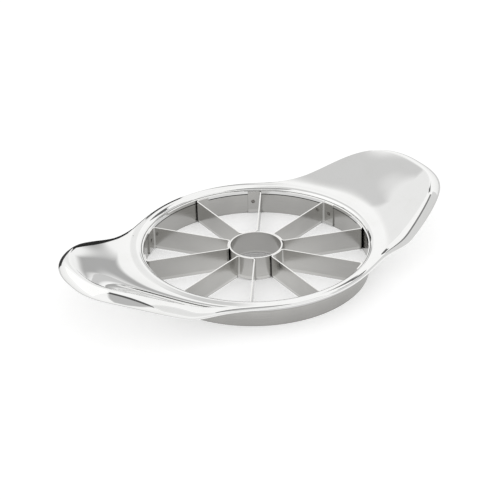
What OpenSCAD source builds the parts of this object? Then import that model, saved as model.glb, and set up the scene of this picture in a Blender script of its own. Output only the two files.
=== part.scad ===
// Apple slicer and wedger pressed down by hand: one rigid cast frame with a round opening and two
// rising wing handles, which holds a steel band, a core ring and ten radial blades.
// The object stands on Z = 0 with its opening's axis on Z and its wings along X. Millimetres.

/* [Opening] */
// Inside diameter of the frame's lip, the widest apple that passes
opening_d = 99.6; // [83:0.1:120]
// Thickness of the lip that the blade band bears against
lip_t = 1.9; // [1.4:0.1:2.6]

/* [Rim] */
// Width of the rounded rim around the opening
rim_w = 5.1; // [4.2:0.1:6.4]
// Height of the rounded rim above the lip's inner edge
rim_rise = 1.7; // [1.2:0.1:2.4]
// Depth of the collar around the band, below the lip's inner edge
collar_depth = 2.8; // [2.6:0.1:4]

/* [Wings] */
// Distance from the opening's centre to the crest at the end of a wing
wing_reach = 88; // [78:1:106]
// Half of the width that the oval outline of the two wings would have at the opening's centre
wing_half_w = 38.5; // [32.5:0.5:46]
// Height that the end of a wing rises above the rim
wing_rise = 13.3; // [9:0.1:18]
// Thickness of the wing's wall, which is open below
shell_t = 2.4; // [1.8:0.1:3]
// Distance that the rounded edge stands out past the crest at the wings
edge_out = 5; // [4:0.1:6]
// Distance that the rounded edge turns down below the crest at the wings
edge_drop = 3.9; // [3.2:0.1:4.8]

/* [Band and core] */
// Height of the band, from the surface it stands on to the lip above it
band_h = 9.5; // [7.8:0.1:11.5]
// Thickness of the band's strip
band_t = 0.6; // [0.5:0.05:0.8]
// Outside diameter of the core ring
core_d = 23.8; // [19.8:0.1:28.6]
// Thickness of the core ring
core_t = 0.7; // [0.5:0.05:0.9]

/* [Blades] */
// Thickness of the blade strip
blade_t = 0.6; // [0.5:0.05:0.8]
// Distance that the blades' lower edges stay above the surface
blade_lift = 0.5; // [0.3:0.1:1]
// Distance that the blades' upper edges stay below the lip's inner edge
blade_sink = 0.3; // [0.2:0.1:0.8]
// Radius of each bend, measured to the middle of the strip
bend_r = 1.2; // [0.9:0.1:1.6]
// Length of the tab that lies on the band
tab_len = 4.8; // [4:0.1:6]
// Height of the ground bevel on the lower edges
bevel_h = 1.6; // [1:0.1:2.4]
// Width left at the ground edge
edge_t = 0.12; // [0.1:0.02:0.2]

/* [Welds] */
// Diameter of the spot weld on each tab
weld_d = 1.8; // [1.4:0.1:2.2]
// Height of the spot welds above the surface
weld_up = 6.2; // [4:0.1:6.4]
// Depth of the dimple that each spot weld leaves in its tab
dimple = 0.2; // [0.1:0.05:0.3]

/* [Hidden] */

$fn = 144;
// Reach of a cut past a face
cut = 1;
// Gap between a strip and what it is welded to, and round a weld in its tab
fit_gap = 0.02;

// Levels
lip_top = band_h + lip_t;
blade_top = lip_top - blade_sink;
blade_h = blade_top - blade_lift;

// Radii of the opening, the band and the core
opening_r = opening_d / 2;
band_in_r = opening_r;
band_out_r = band_in_r + band_t;
core_out_r = core_d / 2;
core_in_r = core_out_r - core_t;
lip_relief = 0.35;

// Radii of the rim: past a narrow land its rounded top rises to the crown
land_w = 0.5;
rim_in_r = opening_r + land_w;
rim_half_w = rim_w / 2;
crown_r = rim_in_r + rim_half_w;
rim_edge_out = 1.45;
rim_edge_drop = 1.65;
// How far the blend into the wings swells the plain rim
blend_swell = 0.25;
rim_crest_r = rim_in_r + rim_w - rim_edge_out - blend_swell;
collar_w = 1.2;
collar_r = band_out_r + collar_w;
// Stock that the bore cuts away inside the opening
bore_stock = 1.2;
blank_r = opening_r - bore_stock;

// Shape of the wings: power of their oval outline, and of its blend into the round rim
oval_power = 2.6;
blend_power = 10;
// Share of a wing's reach past the rim over which the rim's edge becomes the wing's
edge_blend = 0.3;
// Power that flattens the rounded edge at the wings, so that it meets the crest at a ridge
edge_power = 1.35;
// Dip between the rim's crown and the wing, and the place past the crown where the wing rises
valley = 0.4;
valley_w = 3.6;
rise_start = 1;
rise_start_r = crown_r + rise_start;
// Slope with which a wing meets its crest beside the rim and at its end, by its mean slope
flank_slope = 2;
end_slope = 1;
// Width of the slope under the rim, of the edge's foot at the rim and at the wings, and its lean
under_w = 5;
rim_foot_w = 0.8;
wing_foot_w = 1.8;
foot_lean = 0.3;

// Steps of the frame's surface, and the shares of the rim's half width where its points lie
sections = 120;
rim_shares = [0, 0.14, 0.42, 1];
top_steps = 8;
edge_steps = 6;
under_steps = 7;

// Blade angles: a gap is centred on each wing, and the five strips follow each other round the core
pair_step = 72;
blade_step = pair_step / 2;
first_blade = 1.5 * blade_step;

// Middle line of a V-shaped strip: radii of its web and tabs, and centres of the bends beside X
web_r = core_out_r + fit_gap + blade_t / 2;
tab_r = band_in_r - fit_gap - blade_t / 2;
inner_turn = asin(bend_r / (web_r + bend_r));
outer_turn = asin(bend_r / (tab_r - bend_r));
inner_bend = [(web_r + bend_r) * cos(inner_turn), bend_r];
outer_bend = [(tab_r - bend_r) * cos(outer_turn), bend_r];
tab_turn = 180 * tab_len / (PI * tab_r);
weld_turn = outer_turn + tab_turn / 2;
web_steps = 5;
bend_steps = 8;
tab_steps = 4;

function smooth(x) = let (c = min(1, max(0, x))) c * c * (3 - 2 * c);

// Radius of the wings' oval outline in the direction a
function oval_r(a) =
    pow(pow(abs(cos(a)) / wing_reach, oval_power) + pow(abs(sin(a)) / wing_half_w, oval_power),
        -1 / oval_power);

// Radius of the crest, where the top surface meets the rounded edge
function crest_r(a) = pow(pow(rim_crest_r, blend_power) + pow(oval_r(a), blend_power), 1 / blend_power);

// How far the edge in the direction a is a wing's edge, from 0 on the plain rim to 1 on a wing
function wing_share(a) = smooth((crest_r(a) - rim_crest_r) / (edge_blend * (wing_reach - rim_crest_r)));

// Share of a wing's length that lies inside the crest, and how far the crest is lifted there
function wing_part(crest) = max(0, (crest - rise_start_r) / (wing_reach - rise_start_r));
function crest_lift(crest) = wing_rise * smooth(wing_part(crest));

// Lift of the wing at the radius r: it leaves the rim level and climbs to a ridge at the crest
function wing_lift(r, crest) =
    let (
        s = r > rise_start_r && crest > rise_start_r ? (r - rise_start_r) / (crest - rise_start_r) : 0,
        slope = flank_slope + (end_slope - flank_slope) * wing_part(crest)
    )
    crest_lift(crest) * ((3 - slope) * pow(s, 2) + (slope - 2) * pow(s, 3));

// Height of the top surface above the lip's inner edge at the radius r
function rim_top(r) = rim_rise * sqrt(max(0, 1 - pow((crown_r - r) / rim_half_w, 2)));
function wing_top(r, crest) =
    rim_rise - valley * smooth((r - crown_r) / valley_w) + wing_lift(r, crest);

// Height of the underside at the radius r
function under_z(r, crest) =
    (rim_rise - valley - shell_t + collar_depth) * smooth((r - collar_r) / under_w)
    - collar_depth + wing_lift(r, crest);

// Closed cross-section of the frame in the direction a, as points of radius and height
function section(a) =
    let (
        crest = crest_r(a),
        crest_z = wing_top(crest, crest),
        share = wing_share(a),
        out = rim_edge_out + share * (edge_out - rim_edge_out),
        drop = rim_edge_drop + share * (edge_drop - rim_edge_drop),
        foot_w = rim_foot_w + share * (wing_foot_w - rim_foot_w),
        power = 1 + share * (edge_power - 1),
        foot = [crest + out - foot_w, crest_z - drop - foot_lean],
        under_r = crest - foot_lean
    )
    concat(
        [[blank_r, 0]],
        [for (s = rim_shares) let (r = rim_in_r + s * rim_half_w) [r, rim_top(r)]],
        [for (i = [1 : top_steps]) let (r = crown_r + (crest - crown_r) * i / top_steps)
            [r, wing_top(r, crest)]],
        [for (i = [1 : edge_steps]) let (t = 90 * i / edge_steps)
            [crest + out * pow(sin(t), power), crest_z - drop * (1 - pow(cos(t), power))]],
        [foot],
        [([under_r, under_z(under_r, crest)] + foot) / 2],
        [for (i = [0 : under_steps]) let (r = under_r + (collar_r - under_r) * i / under_steps)
            [r, under_z(r, crest)]],
        [[blank_r, -collar_depth]]
    );

// Solid ring swept through one cross-section for each direction
module swept_frame() {
    rings = [for (i = [0 : sections - 1]) section(360 * i / sections)];
    n = len(rings[0]);
    points = [for (i = [0 : sections - 1]) for (p = rings[i]) let (a = 360 * i / sections)
        [p[0] * cos(a), p[0] * sin(a), p[1]]];
    faces = [for (i = [0 : sections - 1]) for (j = [0 : n - 1])
        let (i2 = (i + 1) % sections, j2 = (j + 1) % n)
        each [[i * n + j, i2 * n + j, i2 * n + j2], [i * n + j, i2 * n + j2, i * n + j2]]];
    polyhedron(points = points, faces = faces, convexity = 6);
}

// Frame: rim, lip, collar and both wings in one casting, bored for the apple and the band
module frame() {
    color("gainsboro")
    difference() {
        translate([0, 0, lip_top]) swept_frame();
        translate([0, 0, -cut]) cylinder(r = opening_r, h = lip_top + rim_rise + 2 * cut);
        translate([0, 0, -cut]) cylinder(r = band_out_r, h = band_h + cut);
        translate([0, 0, band_h]) rotate_extrude()
            polygon([[blank_r, -cut], [opening_r + lip_relief, -cut], [opening_r + lip_relief, 0],
                [opening_r, lip_relief], [blank_r, lip_relief]]);
    }
}

// Band: a hoop of steel strip that stands in the frame's collar and bears up against its lip
module blade_band() {
    color("darkgray")
    rotate_extrude() translate([band_in_r, 0]) square([band_t, band_h]);
}

// Core ring: a short tube, ground sharp on its lower edge
module core_ring() {
    color("silver")
    rotate_extrude()
        polygon([[core_out_r - edge_t, 0], [core_out_r, 0], [core_out_r, blade_top],
            [core_in_r, blade_top], [core_in_r, bevel_h]]);
}

// Points of an arc about the centre c from the angle a to the angle b
function arc(c, r, a, b, steps) =
    [for (i = [0 : steps]) let (t = a + (b - a) * i / steps) c + r * [cos(t), sin(t)]];

// Half of a strip, the distance d to the inside of its middle line: tab, bend, blade, bend and web
function half_side(d) = concat(
    arc([0, 0], tab_r - d, outer_turn + tab_turn, outer_turn, tab_steps),
    arc(outer_bend, bend_r - d, outer_turn, -90, bend_steps),
    arc(inner_bend, bend_r - d, -90, inner_turn - 180, bend_steps),
    arc([0, 0], web_r + d, inner_turn, blade_step / 2, web_steps)
);

// The same point on the strip's other half
function across(p) =
    [p[0] * cos(blade_step) + p[1] * sin(blade_step), p[0] * sin(blade_step) - p[1] * cos(blade_step)];
function reverse(list) = [for (i = [len(list) - 1 : -1 : 0]) list[i]];
function side(d) = concat(half_side(d), reverse([for (p = half_side(d)) across(p)]));
function outline() = concat(side(-blade_t / 2), reverse(side(blade_t / 2)));

// The list without the points where two arcs meet and both give the same point
function no_repeats(list) =
    [for (i = [0 : len(list) - 1]) if (i == 0 || norm(list[i] - list[i - 1]) > fit_gap) list[i]];

// What the bevel leaves out on one side of the blade along X
module bevel_cut() {
    top = bevel_h + cut;
    slope = (blade_t - edge_t) / 2 / bevel_h;
    far_side = edge_t / 2 + slope * top;
    translate([inner_bend[0], 0, blade_lift]) rotate([90, 0, 90])
        linear_extrude(outer_bend[0] - inner_bend[0])
            polygon([[edge_t / 2 - slope * cut, -cut], [far_side, -cut], [far_side, top]]);
}

// Hole in the tab beside X that its spot weld fills
module weld_hole() {
    rotate([0, 0, weld_turn]) translate([tab_r - blade_t, 0, weld_up])
        rotate([0, 90, 0]) cylinder(d = weld_d, h = 2 * blade_t);
}

// What it is given, on both halves of strip number i
module both_halves(i) {
    rotate([0, 0, first_blade + (i - 1) * pair_step]) {
        children();
        rotate([0, 0, blade_step]) mirror([0, 1, 0]) children();
    }
}

// V-shaped strip number i: a tab, a blade, the web on the core ring, a second blade and its tab
module blade_pair(i) {
    color("silver")
    difference() {
        rotate([0, 0, first_blade + (i - 1) * pair_step]) translate([0, 0, blade_lift])
            linear_extrude(blade_h) polygon(no_repeats(outline()));
        both_halves(i) {
            bevel_cut();
            mirror([0, 1, 0]) bevel_cut();
            weld_hole();
        }
    }
}

// Spot welds: one round mark at the bottom of a dimple in each tab, at the same height all round
module tab_welds() {
    color("dimgray")
    for (i = [1 : 5])
        both_halves(i) rotate([0, 0, weld_turn]) translate([tab_r - blade_t / 2 + dimple, 0, weld_up])
            rotate([0, 90, 0]) cylinder(d = weld_d - 2 * fit_gap, h = blade_t - dimple);
}

frame();
blade_band();
core_ring();
blade_pair(1);  // blade_pair_1
blade_pair(2);  // blade_pair_2
blade_pair(3);  // blade_pair_3
blade_pair(4);  // blade_pair_4
blade_pair(5);  // blade_pair_5
tab_welds();
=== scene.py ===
# Looks of the apple slicer: the cast frame is modelled smooth and mirror polished, and the steel
# band, core ring, V-shaped strips and weld marks keep their built shape and get their finish here.
# Sizes are in millimetres until mm() turns them into the scene's metres. Noise scales, named
# PER_M, are per metre.
import math

import bmesh
import bpy
from mathutils import Matrix, Vector


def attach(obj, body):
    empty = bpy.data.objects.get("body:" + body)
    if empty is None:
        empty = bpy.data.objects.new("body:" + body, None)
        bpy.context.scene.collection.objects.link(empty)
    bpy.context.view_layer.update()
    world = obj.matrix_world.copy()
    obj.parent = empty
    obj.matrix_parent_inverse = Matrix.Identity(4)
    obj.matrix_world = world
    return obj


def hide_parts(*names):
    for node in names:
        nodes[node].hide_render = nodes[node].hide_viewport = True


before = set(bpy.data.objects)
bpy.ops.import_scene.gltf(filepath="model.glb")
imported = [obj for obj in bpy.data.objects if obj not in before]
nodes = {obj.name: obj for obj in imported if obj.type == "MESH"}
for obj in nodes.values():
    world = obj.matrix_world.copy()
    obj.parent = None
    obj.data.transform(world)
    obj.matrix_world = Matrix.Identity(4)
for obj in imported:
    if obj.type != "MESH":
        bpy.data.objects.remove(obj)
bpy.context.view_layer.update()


# ---- Camera -------------------------------------------------------------------------------------
# A long lens looks down on the slicer from its front left, so that one wing points away to the
# right and the other comes forward to the left. It aims just short of the opening's centre.
CAMERA_TURN = -32.49
CAMERA_RISE = 29.84
CAMERA_ROLL = -1.45
CAMERA_DISTANCE = 880.6
CAMERA_TARGET = (-5.03, -3.02, 11.4)
CAMERA_LENS = 144
SENSOR_WIDTH = 36


def mm(value):
    """Millimetres as the scene's metres."""
    return value / 1000


turn = math.radians(CAMERA_TURN)
rise = math.radians(CAMERA_RISE)
back = Vector((math.sin(turn) * math.cos(rise), -math.cos(turn) * math.cos(rise), math.sin(rise)))
camera = bpy.data.objects.new("camera", bpy.data.cameras.new("camera"))
camera.data.lens = CAMERA_LENS
camera.data.sensor_width = SENSOR_WIDTH
aim = (-back).to_track_quat("-Z", "Y").to_matrix().to_4x4()
target = Vector([mm(v) for v in CAMERA_TARGET])
camera.matrix_world = (Matrix.Translation(target + back * mm(CAMERA_DISTANCE)) @ aim
                       @ Matrix.Rotation(math.radians(CAMERA_ROLL), 4, "Z"))
bpy.context.collection.objects.link(camera)
bpy.context.scene.camera = camera


# ---- Cast frame ---------------------------------------------------------------------------------
# One die casting: a rounded rim round the opening, two wing handles that rise from it and roll
# over at their edges, and a collar below that holds the band. It is plated and mirror polished.

# The lip over the blades' outer ends. A section's heights count from the lip's inner edge, which
# is LIP_Z above the table.
OPENING_R = 49.8
LIP_Z = 11.4
LIP_T = 1.9
LIP_RELIEF = 0.35
LIP_CHAMFER = 0.1
LAND_W = 0.5
# The rim, and what the blend into the wings' outline adds to its crest on its free sides
RIM_W = 5.1
RIM_RISE = 1.7
RIM_EDGE_OUT = 1.45
RIM_EDGE_DROP = 1.65
BLEND_SWELL = 0.25
# The collar round the band
BAND_OUT_R = 50.4
COLLAR_R = 51.6
COLLAR_DEPTH = 2.8
# The wings, which rise from just outside the rim's crown, past a slight valley
WING_REACH = 88
WING_HALF_W = 38.5
WING_RISE = 13.3
RISE_START = 1
VALLEY = 0.4
VALLEY_W = 3.6
# The casting's wall, and the width over which its underside rises from the collar
SHELL_T = 2.4
UNDER_W = 5
# Steepness of the rise at a wing's edge, against its mean: at its flanks and at its tip
FLANK_SLOPE = 2
END_SLOPE = 1
# The wings' rolled edge: it grows over this share of their length, and with a power above 1 its
# section is flatter than a quarter ellipse.
EDGE_OUT = 5
EDGE_DROP = 3.9
EDGE_BLEND = 0.3
EDGE_POWER = 1.35
# The rolled edge's lower end, turned in by its width and leaning to the underside
RIM_FOOT_W = 0.8
WING_FOOT_W = 1.8
FOOT_LEAN = 0.3
# Powers of the wings' oval outline, and of its blend into the rim
OVAL_POWER = 2.6
BLEND_POWER = 10
# Steps of the mesh: round the opening, and along the rim, the wing, the rolled edge and below
TURN_STEPS = 240
RIM_STEPS = 9
WING_STEPS = 26
EDGE_STEPS = 14
UNDER_STEPS = 14
SHARP_ANGLE = 40

rim_in_r = OPENING_R + LAND_W
rim_half_w = RIM_W / 2
crown_r = rim_in_r + rim_half_w
rim_crest_r = rim_in_r + RIM_W - RIM_EDGE_OUT - BLEND_SWELL
rise_start_r = crown_r + RISE_START


def smooth(x):
    """A soft step from 0 to 1 while x goes from 0 to 1."""
    x = min(1, max(0, x))
    return x * x * (3 - 2 * x)


def crest_r(angle):
    """Radius of the ridge where the top surface meets the rolled edge."""
    wide = (abs(math.cos(angle)) / WING_REACH) ** OVAL_POWER
    oval = (wide + (abs(math.sin(angle)) / WING_HALF_W) ** OVAL_POWER) ** (-1 / OVAL_POWER)
    return (rim_crest_r ** BLEND_POWER + oval ** BLEND_POWER) ** (1 / BLEND_POWER)


def wing_lift(r, crest):
    """Rise of the wing at radius r, in a direction that has its crest at that radius."""
    if r <= rise_start_r or crest <= rise_start_r:
        return 0
    part = (crest - rise_start_r) / (WING_REACH - rise_start_r)
    s = (r - rise_start_r) / (crest - rise_start_r)
    slope = FLANK_SLOPE + (END_SLOPE - FLANK_SLOPE) * part
    return WING_RISE * smooth(part) * ((3 - slope) * s ** 2 + (slope - 2) * s ** 3)


def top_z(r, crest):
    """Height of the top surface outside the rim's crown."""
    return RIM_RISE - VALLEY * smooth((r - crown_r) / VALLEY_W) + wing_lift(r, crest)


def under_z(r, crest):
    """Height of the underside outside the collar, a wall's thickness below the top."""
    slope = (RIM_RISE - VALLEY - SHELL_T + COLLAR_DEPTH) * smooth((r - COLLAR_R) / UNDER_W)
    return slope - COLLAR_DEPTH + wing_lift(r, crest)


def steps(first, last, count):
    """Even steps from first to last, with both of them."""
    return [first + (last - first) * i / count for i in range(count + 1)]


def section(angle):
    """Cross-section in that direction, from the lip's inner face over the top and back below."""
    crest = crest_r(angle)
    crest_z = top_z(crest, crest)
    share = smooth((crest - rim_crest_r) / (EDGE_BLEND * (WING_REACH - rim_crest_r)))
    out = RIM_EDGE_OUT + share * (EDGE_OUT - RIM_EDGE_OUT)
    drop = RIM_EDGE_DROP + share * (EDGE_DROP - RIM_EDGE_DROP)
    foot_w = RIM_FOOT_W + share * (WING_FOOT_W - RIM_FOOT_W)
    foot = (crest + out - foot_w, crest_z - drop - FOOT_LEAN)
    under_r = crest - FOOT_LEAN
    points = [(OPENING_R, LIP_RELIEF - LIP_T), (OPENING_R, -LIP_CHAMFER),
              (OPENING_R + LIP_CHAMFER, 0)]
    for t in steps(0, 90, RIM_STEPS):
        t = math.radians(t)
        points.append((crown_r - rim_half_w * math.cos(t), RIM_RISE * math.sin(t)))
    points += [(r, top_z(r, crest)) for r in steps(crown_r, crest, WING_STEPS)[1:]]
    power = 1 + share * (EDGE_POWER - 1)
    for t in steps(0, 90, EDGE_STEPS)[1:]:
        t = math.radians(t)
        points.append((crest + out * math.sin(t) ** power,
                       crest_z - drop * (1 - max(0, math.cos(t)) ** power)))
    points += [foot, ((foot[0] + under_r) / 2, (foot[1] + under_z(under_r, crest)) / 2)]
    points += [(r, under_z(r, crest)) for r in steps(under_r, COLLAR_R, UNDER_STEPS)]
    points += [(BAND_OUT_R, -COLLAR_DEPTH), (BAND_OUT_R, -LIP_T), (OPENING_R + LIP_RELIEF, -LIP_T)]
    return points


# One section is spun round the opening, and each of its copies then takes the section of its own
# direction.
shape = bmesh.new()
station = shape.verts.layers.int.new("station")
start = section(0)
for i, (r, z) in enumerate(start):
    vertex = shape.verts.new((mm(r), 0, mm(z)))
    vertex[station] = i
shape.verts.ensure_lookup_table()
for i in range(len(start)):
    shape.edges.new((shape.verts[i], shape.verts[(i + 1) % len(start)]))
bmesh.ops.spin(shape, geom=shape.verts[:] + shape.edges[:], cent=(0, 0, 0), axis=(0, 0, 1),
               angle=math.tau, steps=TURN_STEPS, use_merge=True)
sections = {}
for vertex in shape.verts:
    angle = math.atan2(vertex.co.y, vertex.co.x)
    key = round(angle, 5)
    if key not in sections:
        sections[key] = section(angle)
    r, z = sections[key][vertex[station]]
    vertex.co = (mm(r) * math.cos(angle), mm(r) * math.sin(angle), mm(LIP_Z + z))
bmesh.ops.recalc_face_normals(shape, faces=shape.faces[:])
casting_mesh = bpy.data.meshes.new("cast_frame")
shape.to_mesh(casting_mesh)
shape.free()
casting = bpy.data.objects.new("cast_frame", casting_mesh)
bpy.context.collection.objects.link(casting)
casting_mesh.shade_smooth()
casting_mesh.set_sharp_from_angle(angle=math.radians(SHARP_ANGLE))


def linear(hex_colour):
    """An sRGB hex colour as the linear RGBA that a node takes."""
    channels = [int(hex_colour[i:i + 2], 16) / 255 for i in (1, 3, 5)]
    return [c / 12.92 if c <= 0.04045 else ((c + 0.055) / 1.055) ** 2.4 for c in channels] + [1]


def add(tree, kind, inputs=None, **settings):
    """Adds a shader node. An input is given by name or number, as a value or a node's output."""
    node = tree.nodes.new("ShaderNode" + kind)
    for name, value in settings.items():
        setattr(node, name, value)
    for key, value in (inputs or {}).items():
        if isinstance(value, bpy.types.NodeSocket):
            tree.links.new(value, node.inputs[key])
        else:
            node.inputs[key].default_value = value
    return node


def new_material(name):
    """A material without nodes, and its node tree."""
    material = bpy.data.materials.new(name)
    material.use_nodes = True
    material.node_tree.nodes.clear()
    return material, material.node_tree


def between(tree, value, low, high, to_low=0, to_high=1):
    """Maps low..high smoothly to to_low..to_high."""
    return add(tree, "MapRange", {"Value": value, "From Min": low, "From Max": high,
                                  "To Min": to_low, "To Max": to_high},
               interpolation_type="SMOOTHSTEP").outputs[0]


def mix_colours(tree, factor, first, second):
    """Node inputs 0, 6 and 7 are the factor and the two colours, and output 2 is their mix."""
    return add(tree, "Mix", {0: factor, 6: first, 7: second}, data_type="RGBA").outputs[2]


# Bright chrome plating over the polished casting: a clear mirror, bent by the long waves that
# polishing leaves, a little duller where it is rubbed and on its ridges. The waves are about
# 36 mm long and the smears 11 mm. The hairlines of wiping run along the wings and are drawn
# 0.2 mm wide, which is coarser than they are, so that they show.
PLATING = linear("#F4F4F3")
PLATING_WORN = linear("#F0F0EE")
# Painted shade: a near-black colour laid into the gap under the lip and into the steel's tight
# corners
PAINTED_CORNER_SHADE = linear("#2E2C2A")
WAVE_PER_M = 28
WAVE_DEPTH = 0.012
WAVE_STRENGTH = 0.6
SMEAR_PER_M = 90
HAIRLINE_PER_M = 5200
HAIRLINE_STRETCH = (0.02, 1, 1)
RUBBED_TONES = (0.2, 0.45)
RUBBED_GLOSS = (0.15, 0.4)
PLATING_ROUGH = (0.02, 0.05)
RIDGE_POINTINESS = (0.52, 0.6)
RIDGE_ROUGH = 0.03
# A painted shade line at the lip's foot next to the band, where the gap between them lies in
# shadow
GAP_H = 0.1
GAP_W = 0.2

polish, tree = new_material("mirror_polished_chrome_plating")
place = add(tree, "TexCoord").outputs["Object"]
smear = add(tree, "TexNoise", {"Vector": place, "Scale": SMEAR_PER_M, "Detail": 3}).outputs[0]
along = add(tree, "VectorMath", {0: place, 1: HAIRLINE_STRETCH}, operation="MULTIPLY").outputs[0]
hairlines = add(tree, "TexNoise", {"Vector": along, "Scale": HAIRLINE_PER_M,
                                   "Detail": 2}).outputs[0]
rubbed = add(tree, "Math", {0: smear, 1: hairlines}, operation="MULTIPLY").outputs[0]
pointiness = add(tree, "NewGeometry").outputs["Pointiness"]
ridges = between(tree, pointiness, *RIDGE_POINTINESS)
wiped = between(tree, rubbed, *RUBBED_GLOSS, *PLATING_ROUGH)
dull = add(tree, "Math", {0: ridges, 1: RIDGE_ROUGH, 2: wiped},
           operation="MULTIPLY_ADD").outputs[0]
waves = add(tree, "TexNoise", {"Vector": place, "Scale": WAVE_PER_M, "Detail": 1}).outputs[0]
wavy = add(tree, "Bump", {"Height": waves, "Distance": mm(WAVE_DEPTH),
                          "Strength": WAVE_STRENGTH}).outputs[0]
plating = mix_colours(tree, between(tree, rubbed, *RUBBED_TONES), PLATING, PLATING_WORN)
height = add(tree, "SeparateXYZ", {0: place}).outputs["Z"]
level = add(tree, "VectorMath", {0: place, 1: (1, 1, 0)}, operation="MULTIPLY").outputs[0]
radius = add(tree, "VectorMath", {0: level}, operation="LENGTH").outputs["Value"]
lip_foot = mm(LIP_Z - LIP_T + LIP_RELIEF)
# Painted shade: the lip's underside over the band is darkened to a near-black line
painted_gap_shade = add(tree, "Math", {0: between(tree, height, lip_foot + mm(GAP_H), lip_foot),
                         1: between(tree, radius, mm(BAND_OUT_R), mm(BAND_OUT_R - GAP_W))},
          operation="MULTIPLY").outputs[0]
shader = add(tree, "BsdfPrincipled", {
    "Base Color": mix_colours(tree, painted_gap_shade, plating, PAINTED_CORNER_SHADE),
    "Metallic": 1, "Roughness": dull, "Normal": wavy})
add(tree, "OutputMaterial", {"Surface": shader.outputs[0]})
casting_mesh.materials.append(polish)
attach(casting, "root")
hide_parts("frame")


# ---- Blade band ---------------------------------------------------------------------------------
# A hoop of satin rolled steel strip in the frame's collar. It carries the blades and stands on
# the table with its lower edge.

# Satin rolled stainless steel: a fine level grain, drawn 0.14 mm wide and so coarser than it is,
# to show, under clouds of tone about 17 mm wide. Ground edges are smoother. Faces that look up get
# a painted highlight and the lower ground bevel a share of it as painted sheen, and tight corners,
# which the light hardly enters, get painted shade.
ROLLED_STEEL = linear("#C6C5C2")
ROLLED_DARK = linear("#BEBDBA")
# Painted highlight: the near-white colour for faces that look up, and in part for the ground bevel
PAINTED_EDGE_HIGHLIGHT = linear("#F0EFED")
ROLLED_ROUGH = 0.19
ROUGH_SPREAD = 0.05
GROUND_ROUGH = -0.12
GRAIN_PER_M = 7000
GRAIN_DEPTH = 0.0004
GRAIN_STRENGTH = 0.5
GRAIN_STRETCH = (0.015, 0.015, 1)
GRAIN_RANGE = (0.3, 0.7)
CLOUD_PER_M = 60
CLOUD_RANGE = (0.15, 0.35)
EDGE_FACING = (0.6, 0.9)
BEVEL_FADE = 0.1
BEVEL_SHINE = 0.3
CORNER_REACH = 2
CORNER_OPEN = (0.2, 0.65)
CORNER_SAMPLES = 8
BAND_BEVEL_H = 0.1


def satin_steel(name, light, dark, bevel_top):
    """Satin steel whose grain runs level round the part, ground up to the height bevel_top."""
    material, tree = new_material(name)
    place = add(tree, "TexCoord").outputs["Object"]
    level = add(tree, "VectorMath", {0: place, 1: GRAIN_STRETCH}, operation="MULTIPLY").outputs[0]
    grain = add(tree, "TexNoise", {"Vector": level, "Scale": GRAIN_PER_M, "Detail": 3}).outputs[0]
    clouds = add(tree, "TexNoise", {"Vector": place, "Scale": CLOUD_PER_M, "Detail": 2}).outputs[0]
    tone = add(tree, "Math", {0: grain, 1: clouds}, operation="MULTIPLY").outputs[0]
    colour = mix_colours(tree, between(tree, tone, *CLOUD_RANGE), dark, light)
    facing = add(tree, "SeparateXYZ", {0: add(tree, "NewGeometry").outputs["Normal"]}).outputs["Z"]
    height = add(tree, "SeparateXYZ", {0: place}).outputs["Z"]
    # Painted highlight: faces that look up are lightened towards near white, and the ground lower
    # bevel takes a share of it as painted sheen; the same mask also makes these faces smoother.
    edge = between(tree, facing, *EDGE_FACING)
    bevel = between(tree, height, mm(bevel_top), mm(bevel_top) - mm(BEVEL_FADE), 0, BEVEL_SHINE)
    ground = add(tree, "Math", {0: edge, 1: bevel}, operation="MAXIMUM").outputs[0]
    colour = mix_colours(tree, ground, colour, PAINTED_EDGE_HIGHLIGHT)
    # Painted shade: where ambient occlusion finds other surfaces within CORNER_REACH, the colour
    # is darkened towards near-black, as shade in tight corners and in the bends' narrow gaps.
    open_air = add(tree, "AmbientOcclusion", {"Distance": mm(CORNER_REACH)},
                   samples=CORNER_SAMPLES).outputs["AO"]
    colour = mix_colours(tree, between(tree, open_air, *CORNER_OPEN), PAINTED_CORNER_SHADE, colour)
    brushed = between(tree, grain, *GRAIN_RANGE, ROLLED_ROUGH - ROUGH_SPREAD,
                      ROLLED_ROUGH + ROUGH_SPREAD)
    dull = add(tree, "Math", {0: ground, 1: GROUND_ROUGH, 2: brushed},
               operation="MULTIPLY_ADD").outputs[0]
    ribbed = add(tree, "Bump", {"Height": grain, "Distance": mm(GRAIN_DEPTH),
                                "Strength": GRAIN_STRENGTH}).outputs[0]
    shader = add(tree, "BsdfPrincipled", {"Base Color": colour, "Metallic": 1, "Roughness": dull,
                                          "Normal": ribbed})
    add(tree, "OutputMaterial", {"Surface": shader.outputs[0]})
    return material


def finish(node_name, material):
    """Gives a CAD node that material only."""
    nodes[node_name].data.materials.clear()
    nodes[node_name].data.materials.append(material)


finish("blade_band", satin_steel("satin_rolled_steel_band", ROLLED_STEEL, ROLLED_DARK,
                                 BAND_BEVEL_H))


# ---- Core ring ----------------------------------------------------------------------------------
# A short tube of satin stainless steel in the middle, which cuts the core out. It stands between
# the webs of the strips, and its lower edge is ground sharp from the inside.
CORE_STEEL = linear("#C4C3C0")
CORE_DARK = linear("#BEBDBA")
BEVEL_H = 1.6

finish("core_ring", satin_steel("satin_drawn_steel_tube", CORE_STEEL, CORE_DARK, BEVEL_H))


# ---- V-shaped blade strips ----------------------------------------------------------------------
# Five strips of satin stainless steel, each bent into two blades, with a web on the core ring and
# a tab welded to the band at each end. Both edges are ground, the lower one to a bevel.
BLADE_STEEL = linear("#C7C6C3")
BLADE_DARK = linear("#C1C0BD")
BLADE_LIFT = 0.5
STRIP_COUNT = 5

blade_steel = satin_steel("satin_rolled_blade_steel", BLADE_STEEL, BLADE_DARK,
                          BLADE_LIFT + BEVEL_H)
for number in range(1, STRIP_COUNT + 1):
    finish(f"blade_pair_{number}", blade_steel)


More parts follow.
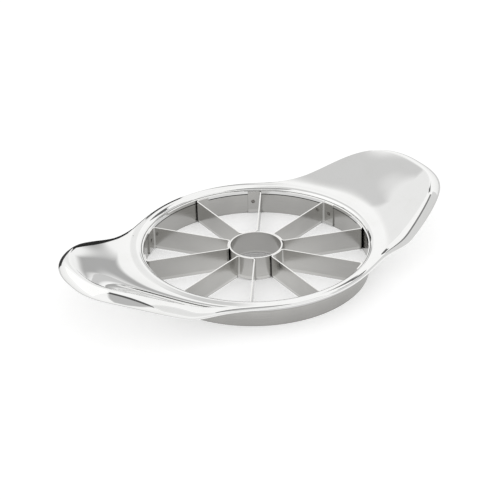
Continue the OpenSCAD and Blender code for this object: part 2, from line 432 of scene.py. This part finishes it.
# ---- Spot welds ---------------------------------------------------------------------------------
# One round mark at the bottom of a shallow dimple in each tab, where the electrode pressed the tab
# on the band. The heat left it dull and slightly burnt, with pits about 0.7 mm wide.
WELD_LIGHT = linear("#B1AEAA")
WELD_BURNT = linear("#86827E")
BURN_PER_M = 1500
BURN_TONES = (0.35, 0.65)
BURN_GLOSS = (0.3, 0.7)
WELD_ROUGH = (0.4, 0.6)
PIT_DEPTH = 0.04
PIT_STRENGTH = 0.6

weld, tree = new_material("dull_spot_weld_mark")
place = add(tree, "TexCoord").outputs["Object"]
burnt = add(tree, "TexNoise", {"Vector": place, "Scale": BURN_PER_M, "Detail": 4}).outputs[0]
pitted = add(tree, "Bump", {"Height": burnt, "Distance": mm(PIT_DEPTH),
                            "Strength": PIT_STRENGTH}).outputs[0]
shader = add(tree, "BsdfPrincipled", {
    "Base Color": mix_colours(tree, between(tree, burnt, *BURN_TONES), WELD_BURNT, WELD_LIGHT),
    "Metallic": 1, "Roughness": between(tree, burnt, *BURN_GLOSS, *WELD_ROUGH), "Normal": pitted})
add(tree, "OutputMaterial", {"Surface": shader.outputs[0]})
finish("tab_welds", weld)


# ---- Table --------------------------------------------------------------------------------------
# A white table under the slicer. Its shadow is real, but inside the core ring the camera sees it
# without its glow, which is painted shade. The slicer's polish sees it with painted shade inside
# the band, and darker with the distance.
TABLE_HALF = 3000
TABLE_WHITE = linear("#F0F0F0")
TABLE_GLOW = 0.38
# Painted shade in the table's reflection: what reflections see of it, as shares of white, and the
# radii between which it changes: in the core ring, outside of it, at the band, fully lit outside
# the band, and far away
WELL_SHARE = 0.6
CORE_SHARE = 0.85
BAND_SHARE = 0.64
FAR_SHARE = 0.62
WELL_R = 11.2
CORE_R = 11.8
BAND_R = 50
OPEN_R = 75
NEAR_R = 110
FAR_R = 260

table_shape = bmesh.new()
bmesh.ops.create_grid(table_shape, x_segments=1, y_segments=1, size=mm(TABLE_HALF))
table_mesh = bpy.data.meshes.new("table")
table_shape.to_mesh(table_mesh)
table_shape.free()
table = bpy.data.objects.new("table", table_mesh)
bpy.context.collection.objects.link(table)
paper, tree = new_material("white_table")
path = add(tree, "LightPath").outputs
place = add(tree, "TexCoord").outputs["Object"]
distance = add(tree, "VectorMath", {0: place}, operation="LENGTH").outputs["Value"]
diffuse = add(tree, "BsdfDiffuse", {"Color": TABLE_WHITE}).outputs[0]
# Painted shade: the glow that whitens the table for the camera is left out inside the core ring
well = between(tree, distance, mm(WELL_R), mm(CORE_R), 0, TABLE_GLOW)
glow = add(tree, "Emission", {"Strength": well}).outputs[0]
seen = add(tree, "AddShader", {0: diffuse, 1: glow}).outputs[0]
core = between(tree, distance, mm(WELL_R), mm(CORE_R), WELL_SHARE, CORE_SHARE)
inside = between(tree, distance, mm(CORE_R), mm(BAND_R), core, BAND_SHARE)
shaded = between(tree, distance, mm(BAND_R), mm(OPEN_R), inside, 1)
faded = between(tree, distance, mm(NEAR_R), mm(FAR_R), 1, FAR_SHARE)
share = add(tree, "Math", {0: faded, 1: shaded}, operation="MULTIPLY").outputs[0]
bright = add(tree, "Emission", {"Strength": share}).outputs[0]
surface = add(tree, "MixShader", {0: path["Is Camera Ray"], 1: diffuse, 2: seen}).outputs[0]
surface = add(tree, "MixShader", {0: path["Is Glossy Ray"], 1: surface, 2: bright}).outputs[0]
add(tree, "OutputMaterial", {"Surface": surface})
table_mesh.materials.append(paper)


# ---- Studio -------------------------------------------------------------------------------------
# A white tent lights everything evenly. The polish sees it in soft tones by height, and cards
# that only reflections see give it its dark lines.
TENT_LIGHT = 1
# Degrees above the horizon, and the 8-bit tone that the polish shows from there
TENT = [(0, 229), (10, 235), (20, 241), (30, 244), (45, 244), (60, 242), (75, 244), (90, 249)]
# Share of the light that the plating gives back, and the display's rise of tones
POLISH_SHARE = 0.89
DISPLAY_POWER = 2.2
CARD_DISTANCE = 1000
REACH_FADE = 0.9


def tone_value(tone):
    """Light that the polish shows as this 8-bit tone."""
    return (tone / 255) ** DISPLAY_POWER / POLISH_SHARE


world = bpy.data.worlds.new("studio")
bpy.context.scene.world = world
world.use_nodes = True
tree = world.node_tree
tree.nodes.clear()
direction = add(tree, "TexCoord").outputs["Generated"]
height = add(tree, "SeparateXYZ", {0: direction}).outputs["Z"]
angle = add(tree, "Math", {0: height}, operation="ARCSINE").outputs[0]
share = add(tree, "Math", {0: angle, 1: math.pi / 2}, operation="DIVIDE").outputs[0]
tones = add(tree, "ValToRGB", {0: share})
ramp = tones.color_ramp
while len(ramp.elements) < len(TENT):
    ramp.elements.new(1)
for element, (degrees, tone) in zip(ramp.elements, TENT):
    element.position = degrees / 90
    element.color = [tone_value(tone)] * 3 + [1]
light = add(tree, "Background", {"Strength": TENT_LIGHT}).outputs[0]
tent = add(tree, "Background", {"Color": tones.outputs[0]}).outputs[0]
path = add(tree, "LightPath").outputs
mixed = add(tree, "MixShader", {0: path["Is Glossy Ray"], 1: light, 2: tent}).outputs[0]
add(tree, "OutputWorld", {"Surface": mixed})

away = Vector((-math.sin(turn), math.cos(turn), 0))
right = Vector((math.cos(turn), math.sin(turn), 0))


def toward(azimuth, elevation):
    """A place round the slicer, as right, away and up. Azimuth 0 is behind it, 90 to its right."""
    az, el = math.radians(azimuth), math.radians(elevation)
    return (CARD_DISTANCE * math.sin(az) * math.cos(el),
            CARD_DISTANCE * math.cos(az) * math.cos(el), CARD_DISTANCE * math.sin(el))


def card(name, corners, tone, soft, reach=None):
    """A card that the polish shows in this 8-bit tone, with its corners as right, away and up. It
    fades out over its outermost soft millimetres, and where it has a reach, only first reflections
    from nearer than that see it."""
    outer = [right * mm(x) + away * mm(y) + Vector((0, 0, mm(z))) for x, y, z in corners]
    count = len(outer)
    shape = bmesh.new()
    solid = shape.verts.layers.float.new("solid")
    verts = [shape.verts.new(corner) for corner in outer]
    for i, corner in enumerate(outer):
        before = (outer[i - 1] - corner).normalized()
        after = (outer[(i + 1) % count] - corner).normalized()
        inset = (before + after) * mm(soft) / math.sin(before.angle(after))
        verts.append(shape.verts.new(corner + inset))
        verts[-1][solid] = 1
    for i in range(count):
        j = (i + 1) % count
        shape.faces.new((verts[i], verts[j], verts[count + j], verts[count + i]))
    shape.faces.new(verts[count:])
    mesh = bpy.data.meshes.new(name)
    shape.to_mesh(mesh)
    shape.free()
    material, tree = new_material(name)
    inner = add(tree, "Attribute", attribute_name="solid").outputs["Fac"]
    share = between(tree, inner, 0, 1)
    if reach:
        path = add(tree, "LightPath").outputs
        near = between(tree, path["Ray Length"], mm(reach), mm(REACH_FADE * reach))
        first = between(tree, path["Glossy Depth"], 1.5, 1.4)  # a first reflection has depth 1
        seen = add(tree, "Math", {0: near, 1: first}, operation="MULTIPLY").outputs[0]
        share = add(tree, "Math", {0: share, 1: seen}, operation="MULTIPLY").outputs[0]
    plain = add(tree, "Emission", {"Color": [tone_value(tone)] * 3 + [1]}).outputs[0]
    clear = add(tree, "BsdfTransparent").outputs[0]
    surface = add(tree, "MixShader", {0: share, 1: clear, 2: plain}).outputs[0]
    add(tree, "OutputMaterial", {"Surface": surface})
    mesh.materials.append(material)
    plane = bpy.data.objects.new(name, mesh)
    bpy.context.collection.objects.link(plane)
    plane.visible_camera = False
    plane.visible_diffuse = False
    plane.visible_shadow = False


# Dark flags behind the left wing draw its edge lines, and a slanting grey band crosses its dish.
card("tip_flag", [(-150, 44, 0), (-72, 44, 0), (-72, 44, 36), (-150, 44, 36)], 60, 1)
card("far_edge_flag", [(-55.5, 15.6, 9), (-55.5, 15.6, 17), (-59, 10.1, 19.7), (-68, -4, 22.2),
                       (-78, -19.7, 29), (-78, -19.7, 16)], 45, 0.3, 11)
card("edge_flag", [(-110, 200, 0), (-54, 200, 0), (-44, 200, 84), (-110, 200, 84)], 60, 3)
card("diagonal_band", [(-56, 200, 36), (-28, 200, 10), (28, 200, 72), (0, 200, 98)], 166, 14)
# A window in front, grey with a dark border, shows in the left wing's near edge.
card("window", [(-500, 77, 1459), (530, -753, 691), (530, -864, 589), (320, -1018, 446),
                (-70, -1150, 324), (-460, -1040, 426), (-530, -658, 779)], 178, 120)
card("window_border", [(-480, 40, 1330), (500, -700, 640), (500, -810, 530), (-500, -190, 1110)],
     85, 15)
# Broad soft greys and a white shade the near edges and both wings.
card("front_grey", [toward(116, 24), toward(149, 20), toward(149, 40), toward(116, 46)], 222, 70)
card("left_white", [toward(-118, 20), toward(-43, 20), toward(-43, 70), toward(-118, 70)],
     254, 60)
card("left_grey", [toward(-40, 10), toward(-4, 10), toward(-4, 60), toward(-44, 66)], 229, 120)
card("overhead_grey", [(-92, 36, 240), (10, 36, 240), (4, 310, 240), (-92, 310, 240)], 200, 38)
card("right_grey", [toward(62, -3), toward(115, -3), toward(115, 28), toward(62, 28)], 208, 30)
# Two dark strips draw thin lines along the right wing.
card("right_upper_line", [toward(12, 38), toward(60, 38), toward(60, 47), toward(12, 47)],
     100, 10)
card("right_lower_line", [toward(68, 29), toward(102, 29), toward(102, 36), toward(68, 36)],
     120, 10)


# ---- Render -------------------------------------------------------------------------------------
# Plain colours.
scene = bpy.context.scene
scene.view_settings.view_transform = "Standard"
